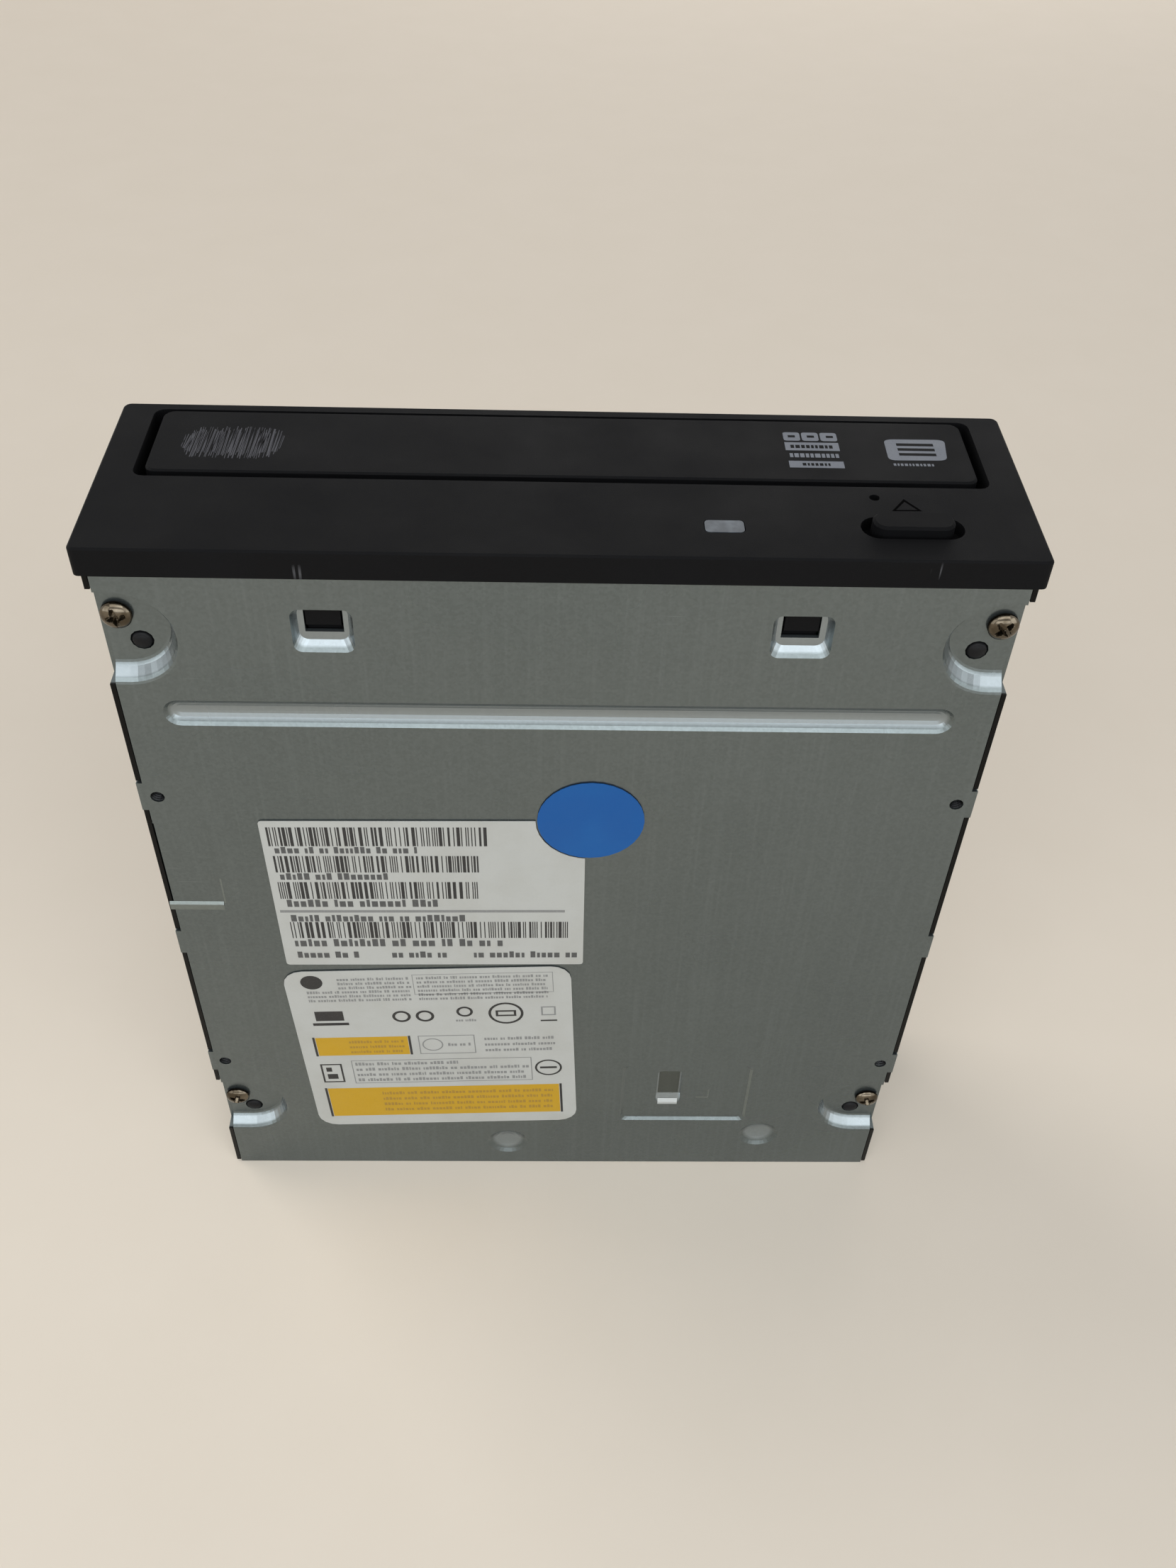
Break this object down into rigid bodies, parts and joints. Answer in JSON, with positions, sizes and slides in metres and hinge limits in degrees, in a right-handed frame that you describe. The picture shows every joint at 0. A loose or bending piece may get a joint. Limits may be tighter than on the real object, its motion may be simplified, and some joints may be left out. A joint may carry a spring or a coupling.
{
  "type": "optical disc drive",
  "caption": "Half-height optical disc drive standing on its rear end: sheet metal case, plastic front with sliding disc tray, loading gears, spindle, pickup on rods and rear socket.",
  "frame": {"origin": "centre of the footprint, at the height of the rear end that it stands on", "axes": "+Z from the rear end to the front bezel, +Y from the bottom plate to the top cover, +X to the right when the bottom plate is looked at with the bezel up. In a bay it is turned 90 degrees about X."},
  "size_m": [0.1482, 0.042, 0.173],
  "materials": {
    "steel_sheet": "zinc plated pressed sheet, satin",
    "black_plastic": "fine matte moulding",
    "frame_plastic": "matte moulding",
    "white_plastic": "satin moulding",
    "bright_metal": "plated, bright",
    "rubber": "matte",
    "board": "solder resist, satin",
    "label_paper": "printed paper",
    "sticker_blue": "printed film",
    "clear_lens": "clear moulding"
  },
  "bodies": {
    "case": {"bottom_plate": "steel_sheet", "top_cover": "steel_sheet", "front_bezel": "black_plastic", "main_frame": "frame_plastic", "main_board": "board", "main_chip": "frame_plastic", "driver_chip": "frame_plastic", "sata_socket": "frame_plastic", "front_board": "board", "led_lens": "clear_lens", "flat_cable": "label_paper", "loading_motor": "bright_metal", "drive_belt": "rubber", "clamp_bridge": "steel_sheet", "cover_screw_1": "bright_metal", "cover_screw_2": "bright_metal", "cover_screw_3": "bright_metal", "cover_screw_4": "bright_metal", "upper_label": "label_paper", "lower_label": "label_paper", "round_sticker": "sticker_blue", "eject_switch": "frame_plastic"},
    "tray": {"disc_tray": "black_plastic", "tray_door": "black_plastic"},
    "tray_gear": {"tray_gear": "white_plastic"},
    "pulley_gear": {"pulley_gear": "white_plastic"},
    "motor_pulley": {"motor_pulley": "white_plastic"},
    "cam": {"cam_slider": "white_plastic"},
    "lift": {"lift_frame": "frame_plastic", "traverse_chassis": "bright_metal", "spindle_motor": "bright_metal", "sled_motor": "bright_metal", "guide_rod_left": "bright_metal", "guide_rod_right": "bright_metal", "damper_1": "rubber", "damper_2": "rubber", "damper_3": "rubber", "damper_4": "rubber", "damper_screw_1": "bright_metal", "damper_screw_2": "bright_metal", "damper_screw_3": "bright_metal", "damper_screw_4": "bright_metal"},
    "spindle": {"turntable": "frame_plastic"},
    "clamp": {"clamper": "white_plastic"},
    "sled": {"pickup": "frame_plastic"},
    "lens": {"objective_lens": "clear_lens"},
    "screw": {"lead_screw": "bright_metal"},
    "button": {"eject_button": "black_plastic", "switch_plunger": "white_plastic"}
  },
  "joints": [
    {"name": "tray_slide", "type": "slide", "parent": "case", "child": "tray", "axis": [0, 0, 1], "range_m": [0, 0.137]},
    {"name": "tray_gear_spin", "type": "hinge", "parent": "case", "child": "tray_gear", "pos_m": [-0.05, -0.00375, 0.15], "axis": [0, 1, 0], "range_deg": [-986.19, 5]},
    {"name": "pulley_gear_spin", "type": "hinge", "parent": "case", "child": "pulley_gear", "pos_m": [-0.03267, -0.00375, 0.14694], "axis": [0, 1, 0], "range_deg": [-10, 2626.51]},
    {"name": "motor_pulley_spin", "type": "hinge", "parent": "case", "child": "motor_pulley", "pos_m": [-0.008, -0.00375, 0.1498], "axis": [0, 1, 0], "range_deg": [-20, 7520.65]},
    {"name": "lift_tilt", "type": "hinge", "parent": "case", "child": "lift", "pos_m": [0, -0.00665, 0.0222], "axis": [1, 0, 0], "range_deg": [0, 4]},
    {"name": "cam_slide", "type": "slide", "parent": "case", "child": "cam", "axis": [1, 0, 0], "range_m": [-0.0001, 0.0161]},
    {"name": "spindle_spin", "type": "hinge", "parent": "lift", "child": "spindle", "pos_m": [0, 0.01135, 0.0935], "axis": [0, 1, 0], "continuous": true},
    {"name": "clamper_spin", "type": "hinge", "parent": "case", "child": "clamp", "pos_m": [0, 0.01555, 0.0935], "axis": [0, 1, 0], "continuous": true},
    {"name": "pickup_slide", "type": "slide", "parent": "lift", "child": "sled", "axis": [0, 0, -1], "range_m": [0, 0.035]},
    {"name": "lead_screw_spin", "type": "hinge", "parent": "lift", "child": "screw", "pos_m": [0.0262, 0.00135, 0.0298], "axis": [0, 0, 1], "range_deg": [-10, 4210]},
    {"name": "lens_focus", "type": "slide", "parent": "sled", "child": "lens", "axis": [0, 1, 0], "range_m": [-0.0004, 0.0004], "stiffness_N_per_m": 20},
    {"name": "eject_press", "type": "slide", "parent": "case", "child": "button", "axis": [0, 0, -1], "range_m": [0, 0.0008], "stiffness_N_per_m": 400, "springref_m": -0.0008}
  ],
  "couplings": [
    {"joint": "tray_gear_spin", "follows": "tray_slide", "rad_per_m": -125},
    {"joint": "pulley_gear_spin", "follows": "tray_slide", "rad_per_m": 333.33},
    {"joint": "motor_pulley_spin", "follows": "tray_slide", "rad_per_m": 955.56},
    {"joint": "cam_slide", "follows": "lift_tilt", "m_per_rad": 0.22918},
    {"joint": "lead_screw_spin", "follows": "pickup_slide", "rad_per_m": 2094.4}
  ]
}
